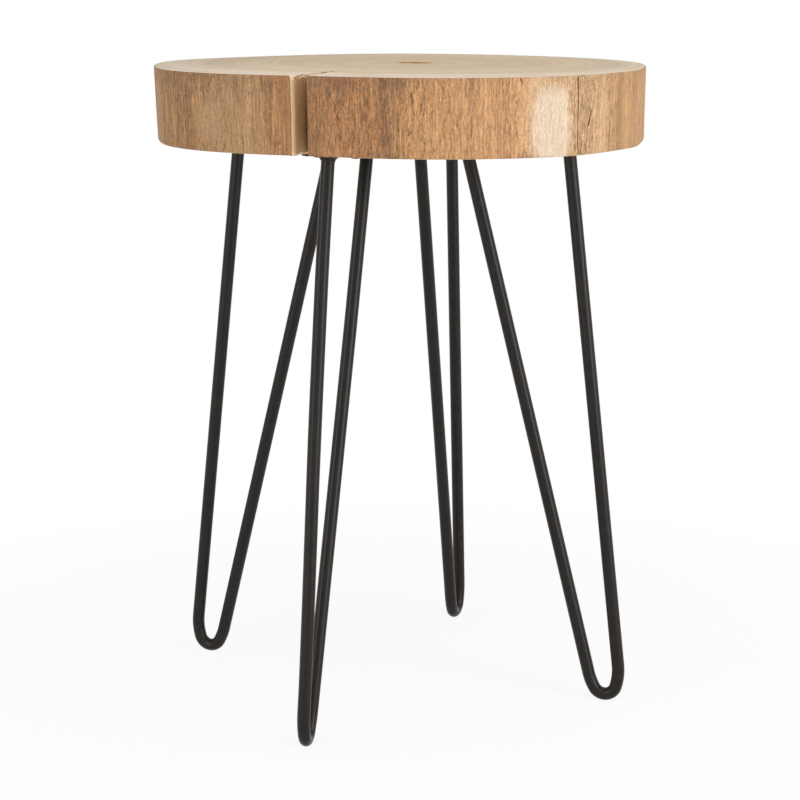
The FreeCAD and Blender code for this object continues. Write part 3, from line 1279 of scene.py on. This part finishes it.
bark_places = (
    (-160, 0.4), (-125, 0.6), (-100, 0.4), (-90, 0.8), (-64, 0.8), (-50, 0.4), (-38, 0.1),
    (-8, 0.1), (60, 0.5), (170, 0.5),
)
stain_and_shade_grey, bark_brown, light_wood = shade(112, 82, 58), shade(86, 56, 36), shade(240, 210, 170)

ragged = (flecks - 0.5) * 2.6 + (fibres - 0.5) * 1.6
chart = side.join(shaky, rise, 0)
weather = side.grain(side.stretch(bent, (1, 1, 0.2)), 6, 3)
hanging = side.step(rise + weather * 24, 54, 72) * by_angle(edge_places)
stains_and_shade = hanging.larger(side.blots(chart, ragged, stain_and_shade_places))
cells = side.step(flecks + fine, 1.12, 0.86)
colour = side.mix(stains_and_shade * (0.45 + cells * 0.5), colour, stain_and_shade_grey)

bark = side.grain(side.stretch(bent, (1, 1, 0.32)), 3.2, 2, 0.5)
dark = side.step(bark, 0.35, 0.22) * by_angle(bark_places)
dark = dark.larger(side.blots(chart, ragged, fleck_places))
colour = side.mix(dark * 0.85, colour, bark_brown)
colour = side.mix(side.blots(chart, ragged, light_places), colour, light_wood)
print("marks", len(stain_and_shade_places) + len(fleck_places) + len(light_places))

# %% [markdown]
# The bare patch is where the last of the bark came away with the outer fibres. It stands on
# the lower edge, is widest at its middle height, bulging more on its left, and fades out
# under the top. Each edge is a pair of angles or heights: where the patch begins and where it
# is full.

# %% Bare the pale patch
patch_middle, patch_half_height = 26, 26
patch_left, patch_left_full, patch_left_bulge = -42.2, -38.9, 2.2
patch_right, patch_right_full = -30.3, -32.1
patch_top, patch_top_full = 60, 44
bare_tone = shade(215, 193, 168)[:3]

from_middle = (rise - patch_middle) / patch_half_height
narrowing = from_middle * from_middle
torn_across = shaky + ragged * 0.4
bare_left = side.step(torn_across - narrowing * patch_left_bulge, patch_left, patch_left_full)
bare_right = side.step(torn_across + narrowing, patch_right, patch_right_full)
bare_top = side.step(rise + ragged * 7, patch_top, patch_top_full)
bare = bare_left * bare_right * bare_top
colour = side.mix(bare * 0.95, colour, side.lit(bare_tone, 1 + lighter * 0.42))
print("bare patch from", patch_left, "to", patch_right, "degrees")

# %% Finish the side
side.surface(
    Base_Color=colour,
    Roughness=0.66 + fine * 0.2,
    Normal=side.bump(fibres * 0.5 + flecks * 0.35 + fine * 0.15 - dark * 0.5, 0.7 * mm),
)
print("side", len(long_grain.node_tree.nodes), "nodes")

# %% [markdown]
# ## End grain
#
# The sawn face shows the tree's rings round its pith. Near the pith they are round, and
# further out they follow the outline, so the distance from the pith is divided by the
# outline's own reach in that direction. Rays cross them, and the sander leaves it pale. A
# brown stain lies round the pith, and past the crack's end a line of small healed specks.

# %% Paint the sawn faces
ring_width, ring_group = 4.2, 7
face_tones = (
    (0.0, (184, 158, 126)), (0.08, (194, 172, 140)), (0.4, (198, 176, 144)),
    (0.7, (200, 180, 152)), (0.88, (210, 193, 171)), (1.0, (209, 193, 173)),
)
warm_patch, pore_brown = shade(204, 172, 140), shade(156, 126, 94)

outline_stops = []
mean_reach = outlines[2].mean()
for angle_stop in range(-180, 181, 15):
    reach = np.interp(angle_stop, column_angles, outlines[2], period=360.0) / mean_reach
    outline_stops.append((turned(angle_stop), reach / 2))

face = Finish(end_grain)
from_pith = face.moved(face.spot(), (-pith_centre.x / mm, -pith_centre.y / mm, 0))
flat = face.stretch(from_pith, (1, 1, 0))
x, y = face.axes(flat)[:2]
angle = face.bearing(x, y)
distance = face.length(flat)
cloud = face.grain(flat, 60, 3) - 0.5
outline = face.gains(turned(angle), outline_stops) * 2
even = distance / (1 + (outline - 1) * face.step(distance, 0, 200)) + cloud * 10
rings = face.layers(even, ring_width, 3.0)
broad_rings = face.layers(even, ring_width * ring_group, 2.0)
rays = face.grain(face.join(angle * 0.9, distance * 0.03, 0), 0.9, 3, 0.6)
patches = face.grain(flat, 45, 3, 0.6)
pores = face.grain(flat, 1.1, 2)

colour = face.ramp(even / 220, face_tones)
lighter = (rings - 0.5) * 0.40 + (broad_rings - 0.5) * 0.5 + (rays - 0.5) * 0.35 + (pores - 0.5) * 0.3
# Painted shade and light: the face is darker towards its left and lighter towards its front.
painted_light_and_shade = face.step(y, 20, -150) * 0.10 - face.step(x, -60, -190) * 0.17
colour = face.lit(colour, 1 + lighter + painted_light_and_shade)
colour = face.mix(face.step(patches, 0.48, 0.66) * 0.35, colour, warm_patch)
colour = face.mix(face.step(pores, 0.40, 0.28) * 0.25, colour, pore_brown)
print("rings", ring_width, "mm wide round the pith")

# %% Mark the sawn faces
# Each mark: its middle, in millimetres from the pith, and its half sizes
pith_stain = ((1, 0), (17, 14))
healed_line = ((-10.5, -90), (6, 32))
dark_speck = ((-9.9, -90.9), (1, 12))
stain_brown, healed_pale, speck_brown = shade(180, 138, 94), shade(232, 218, 190), shade(104, 78, 50)

near_pith = face.step(face.away(flat, *pith_stain) + cloud * 0.4, 1.1, 0.8)
colour = face.mix(near_pith * 0.45, colour, stain_brown)
specks = face.grain(face.stretch(flat, (1, 0.14, 1)), 1.3, 2, 0.5)
healed = face.step(face.away(flat, *healed_line), 1.15, 0.7)
colour = face.mix(face.step(specks, 0.5, 0.62) * healed * 0.6, colour, healed_pale)
dark = face.step(face.away(flat, *dark_speck), 1.1, 0.6)
colour = face.mix(dark * 0.75, colour, speck_brown)
face.surface(
    Base_Color=colour,
    Roughness=0.66 + pores * 0.15,
    Normal=face.bump(rings * 0.15 + pores * 0.2 + rays * 0.1, 0.4 * mm),
)
print("sawn faces", len(end_grain.node_tree.nodes), "nodes")

# %% [markdown]
# ## Split grain
#
# Inside the crack the wood has torn along its fibres. It is pale and fresh by the mouth's
# broken corner and under the top, with a painted highlight along the mouth's edge, and
# browner further in. Low down where the walls close, painted shade makes it darkest. Along
# both saw cuts the torn ends are cream and orange, with small dark pits between them.

# %% Paint the crack's walls
# The first two stops, the outer millimetre at the mouth, are a painted highlight along its edge.
wall_tones_with_highlight = (
    (0.0, (228, 202, 172)), (0.015, (226, 196, 164)), (0.03, (198, 164, 130)), (0.05, (196, 162, 128)),
    (0.075, (204, 168, 129)), (0.5, (181, 145, 105)), (1.0, (140, 108, 72)),
)
torn_tones = ((0.36, (88, 56, 32)), (0.43, (206, 154, 98)), (0.52, (234, 206, 168)), (0.70, (246, 228, 200)))
fresh_tone, painted_crack_shade = shade(214, 184, 146), shade(50, 28, 13)
tall = thickness / mm
fresh_start, fresh_full = tall - 10, tall - 3
crack_shade_start, crack_shade_full = 19, 25
crack_shade_top, crack_shade_low = 38, 12
torn_below_top, torn_shrink = 3.8, 0.022

split = Finish(split_grain)
spot = split.spot()
y, z = split.axes(spot)[1:]
rise = z - underside / mm
low_reach, high_reach = reach_at(mouth_start, np.array([ray_heights[0], ray_heights[2]]))
depth = y - crack_mouth.y / mm + (rise - tall / 2) * ((high_reach - low_reach) / thickness)
fibres = split.grain(split.stretch(spot, (1, 1, 0.06)), 1.2, 3, 0.6)
chips = split.grain(split.stretch(spot, (1, 1, 0.4)), 1.1, 2)
colour = split.ramp(depth / 60, wall_tones_with_highlight)
colour = split.lit(colour, 1 + (fibres - 0.5) * 0.6 + (chips - 0.5) * 0.5)
colour = split.mix(split.step(rise, fresh_start, fresh_full) * 0.4, colour, fresh_tone)
# Painted shade: darkest deep in the crack and low down, where the walls close.
painted_crack_shade_mask = split.step(depth, crack_shade_start, crack_shade_full) * split.step(rise, crack_shade_top, crack_shade_low)
colour = split.mix(painted_crack_shade_mask * 0.85, colour, painted_crack_shade)

specks = split.grain(split.stretch(spot, (1, 0.45, 1)), 1.5, 2, 0.5)
torn_ends = split.ramp(specks, torn_tones)
reach_down = torn_below_top - depth * torn_shrink
torn = split.step(rise + (fibres - 0.5) * 3 + reach_down, tall, tall + 0.8)
torn = torn.larger(split.step(rise + fibres * 3, 4.4, 3.0))
colour = split.mix(torn * 0.95, colour, torn_ends)
split.surface(Base_Color=colour, Roughness=0.8, Normal=split.bump(fibres + specks * torn, 0.7 * mm))

heart = Finish(pith_wood)
spot = heart.spot()
crumbs = heart.grain(spot, 2.2, 4, 0.65)
colour = heart.ramp(crumbs, [(0.3, (146, 100, 58)), (0.5, (176, 132, 84)), (0.7, (200, 162, 114))])
heart.surface(Base_Color=colour, Roughness=0.85, Normal=heart.bump(crumbs, 0.8 * mm))
print("crack and pith painted")

# %% [markdown]
# ## Blackened steel
#
# The bars are hot rolled, so they carry a thin dark scale under a satin black coat. It is
# nearly even, a little warm, with faint mottling and a soft sheen.


# %% Coat the steel
def coat(material, dark, light, roughness):
    """A satin coat, mottled between two dark shades."""
    finish = Finish(material)
    spot = finish.spot()
    mottle = finish.grain(spot, 7, 4, 0.6)
    grit = finish.grain(spot, 0.6, 2)
    colour = finish.ramp(mottle, [(0.3, dark), (0.7, light)])
    finish.surface(
        Base_Color=colour,
        Roughness=roughness + mottle * 0.12,
        Specular_IOR_Level=0.2,
        Normal=finish.bump(grit, 0.04 * mm),
    )


black_steel = new_material("black_steel")
black_screw = new_material("black_screw")
coat(black_steel, (26, 22, 19), (34, 29, 25), 0.28)
coat(black_screw, (29, 28, 27), (38, 36, 34), 0.24)
coated = leg_bars + leg_plates + leg_welds + leg_screws
for piece in coated:
    piece.data.materials.clear()
    piece.data.materials.append(black_screw if piece in leg_screws else black_steel)
print("coated", len(coated), "pieces")

# %% [markdown]
# ## The studio
#
# A white floor that runs on for metres, a white world for what the camera sees past it, and
# four soft lamps: a broad one overhead, a weak fill in front, and two narrow ones that stand
# on the floor and draw a line of light down each bar. To the camera and in reflections the
# floor is mostly its own white, all of it further out, and the rest is lit, so that the feet
# keep a faint shadow. Light that falls on the object never sees that.

# %% Lay the floor
floor_size = 30.0
bpy.ops.mesh.primitive_plane_add(size=floor_size)
floor = start_piece("floor")


def seen_directly(finish):
    """1 where a ray comes from the camera, a reflection or a clear body, and 0 elsewhere."""
    kinds = ("Is Camera Ray", "Is Glossy Ray", "Is Transmission Ray")
    seen, mirrored, sent = [finish.node("ShaderNodeLightPath", out=kind) for kind in kinds]
    return seen.larger(mirrored).larger(sent)


own_white_near, white_start, white_full = 0.9, 350, 700
floor_paint = new_material("floor_paint")
ground = Finish(floor_paint)
away = ground.length(ground.stretch(ground.spot(), (1, 1, 0)))
further = ground.step(away, white_start, white_full)
own_white = seen_directly(ground) * (own_white_near + further * 0.1)
paint = ground.node("ShaderNodeBsdfDiffuse", inputs={"Color": shade(248, 248, 248)})
glow = ground.node("ShaderNodeEmission", inputs={"Color": (1, 1, 1, 1), "Strength": 1.0})
both = ground.node("ShaderNodeMixShader", inputs={0: own_white, 1: paint, 2: glow})
ground.node("ShaderNodeOutputMaterial", inputs={"Surface": both})
floor.data.materials.append(floor_paint)
print("floor", floor_size, "m wide")

# %% Light the world
ambient = 0.4
world = bpy.data.worlds.new("studio")
bpy.context.scene.world = world
world.use_nodes = True
world.node_tree.nodes.clear()
sky = Finish(world)
dim = sky.node("ShaderNodeBackground", inputs={"Color": (1, 1, 1, 1), "Strength": ambient})
white = sky.node("ShaderNodeBackground", inputs={"Color": (1, 1, 1, 1), "Strength": 1.0})
both = sky.node("ShaderNodeMixShader", inputs={0: seen_directly(sky), 1: dim, 2: white})
sky.node("ShaderNodeOutputWorld", inputs={"Surface": both})
print("world gives", ambient)

# %% Hang the lamps
strip_reach, strip_wide, strip_tall, strip_lift = 2.0, 0.65, 1.3, 0.02


def lamp(name, place, size, power, aim_height=top / 2):
    """A soft lamp, so wide and so tall, that faces the table's axis at a height."""
    bpy.ops.object.light_add(type="AREA", location=place)
    light = bpy.context.object
    light.name = name
    light.data.name = name
    light.data.shape = "RECTANGLE"
    light.data.size, light.data.size_y = size
    light.data.energy = power
    aim = Vector((0, 0, aim_height)) - Vector(place)
    light.rotation_euler = aim.to_track_quat("-Z", "Y").to_euler()


def strip_lamp(name, azimuth, power):
    """A narrow lamp that stands on the floor, for one soft line of light down each bar."""
    turn = math.radians(azimuth)
    place = (math.sin(turn) * strip_reach, -math.cos(turn) * strip_reach, strip_tall / 2 + strip_lift)
    lamp(name, place, (strip_wide, strip_tall), power, place[2])


lamp("fill_lamp", (-1.15, -2.2, 1.1), (1.0, 1.0), 4)
lamp("top_lamp", (0.3, -0.3, 2.4), (1.8, 1.8), 19)
strip_lamp("right_strip", 74.0, 23)
strip_lamp("left_strip", -31.0, 9.5)
bpy.context.scene.view_settings.view_transform = "Standard"

# %% Update the scene
bpy.context.view_layer.update()
